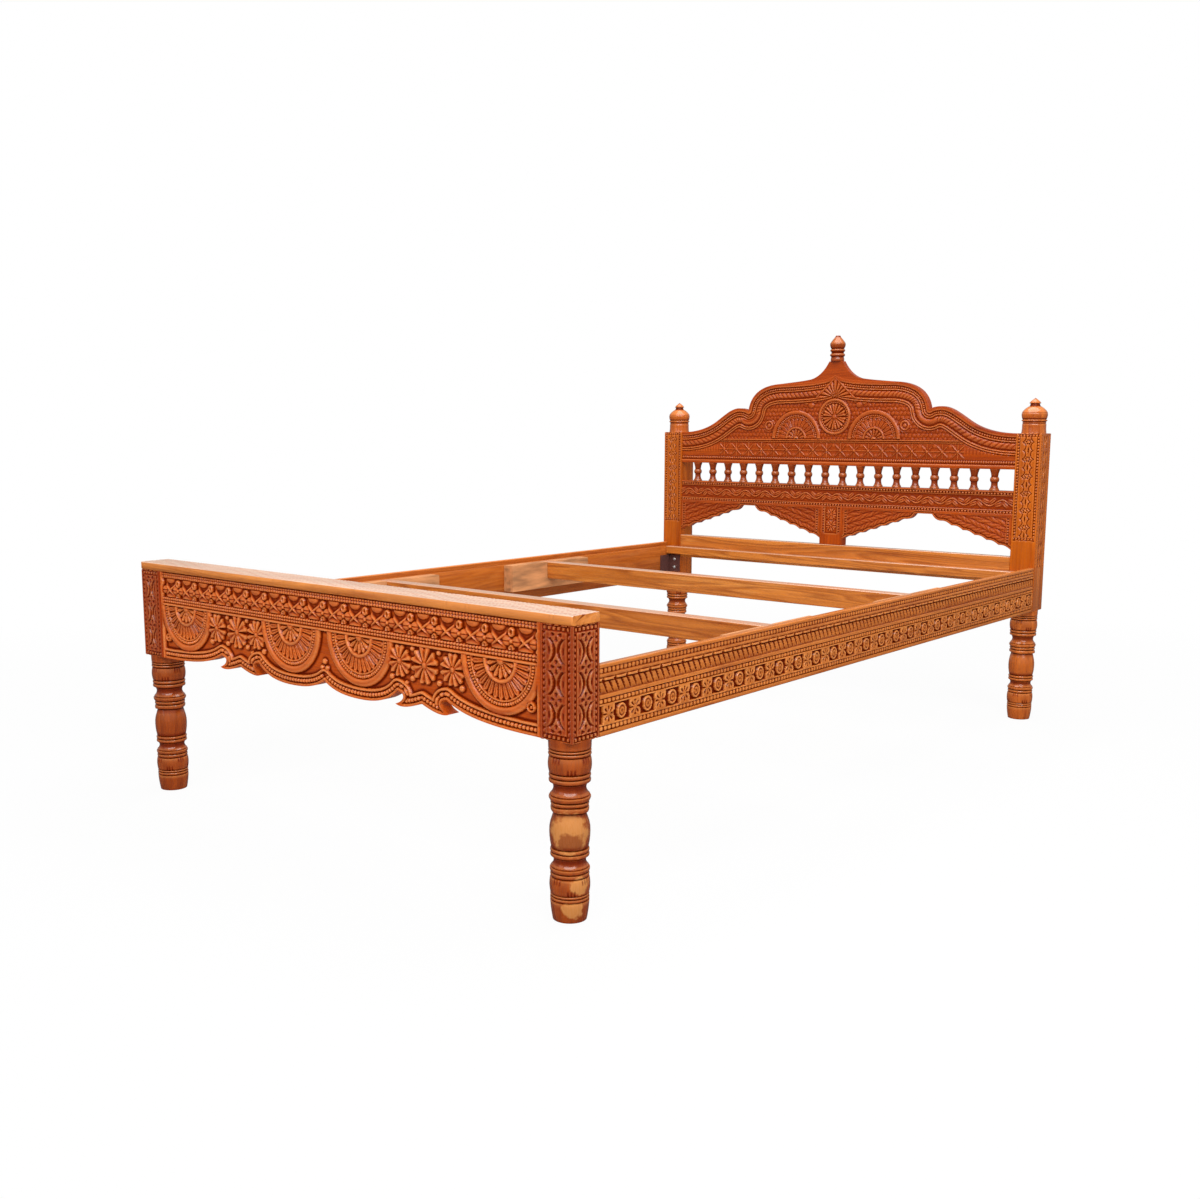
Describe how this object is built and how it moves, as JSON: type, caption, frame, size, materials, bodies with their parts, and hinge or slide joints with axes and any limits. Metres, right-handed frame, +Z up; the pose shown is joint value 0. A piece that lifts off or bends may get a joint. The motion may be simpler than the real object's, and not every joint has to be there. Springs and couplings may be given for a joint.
{
  "type": "carved bed frame",
  "caption": "Carved teak bed frame on turned legs, with a lobed foot panel, carved side rails, lift-out bearers and an arched headboard with a baluster gallery.",
  "frame": {"origin": "middle of the bed's footprint, on the floor", "axes": "+X to the right seen from the foot, +Y from foot to head, +Z up"},
  "size_m": [1.3, 2.08, 1.116],
  "materials": {
    "polished_teak": "glossy warm varnish",
    "plain_teak": "satin varnish",
    "raw_wood": "unfinished sawn",
    "dark_steel": "dark coated",
    "bright_steel": "bright plated"
  },
  "bodies": {
    "frame": {"foot_post_left": "polished_teak", "foot_post_right": "polished_teak", "head_post_left": "polished_teak", "head_post_right": "polished_teak", "foot_cap": "polished_teak", "foot_panel": "polished_teak", "side_rail_left": "polished_teak", "side_rail_right": "polished_teak", "crest_panel": "polished_teak", "crest_finial": "polished_teak", "mid_rail": "polished_teak", "arch_panel_left": "polished_teak", "arch_panel_right": "polished_teak", "centre_stile": "polished_teak", "baluster_01": "polished_teak", "baluster_02": "polished_teak", "baluster_03": "polished_teak", "baluster_04": "polished_teak", "baluster_05": "polished_teak", "baluster_06": "polished_teak", "baluster_07": "polished_teak", "baluster_08": "polished_teak", "baluster_09": "polished_teak", "baluster_10": "polished_teak", "baluster_11": "polished_teak", "baluster_12": "polished_teak", "baluster_13": "polished_teak", "baluster_14": "polished_teak", "baluster_15": "polished_teak", "baluster_16": "polished_teak", "baluster_17": "polished_teak", "baluster_18": "polished_teak", "lower_head_rail": "plain_teak", "head_ledger": "plain_teak", "foot_ledger": "plain_teak", "block_1_left": "raw_wood", "block_1_right": "raw_wood", "block_2_left": "raw_wood", "block_2_right": "raw_wood", "bracket_foot_left": "dark_steel", "bracket_foot_right": "dark_steel", "bracket_head_left": "dark_steel", "bracket_head_right": "dark_steel", "bolt_foot_left_1": "bright_steel", "bolt_foot_left_2": "bright_steel", "bolt_foot_right_1": "bright_steel", "bolt_foot_right_2": "bright_steel", "bolt_head_left_1": "bright_steel", "bolt_head_left_2": "bright_steel", "bolt_head_right_1": "bright_steel", "bolt_head_right_2": "bright_steel"},
    "bearer_foot": {"bearer_1": "plain_teak"},
    "bearer_head": {"bearer_2": "plain_teak"}
  },
  "joints": [
    {"name": "bearer_foot_lift", "type": "slide", "parent": "frame", "child": "bearer_foot", "axis": [0, 0, 1], "range_m": [0, 0.12]},
    {"name": "bearer_head_lift", "type": "slide", "parent": "frame", "child": "bearer_head", "axis": [0, 0, 1], "range_m": [0, 0.12]}
  ]
}
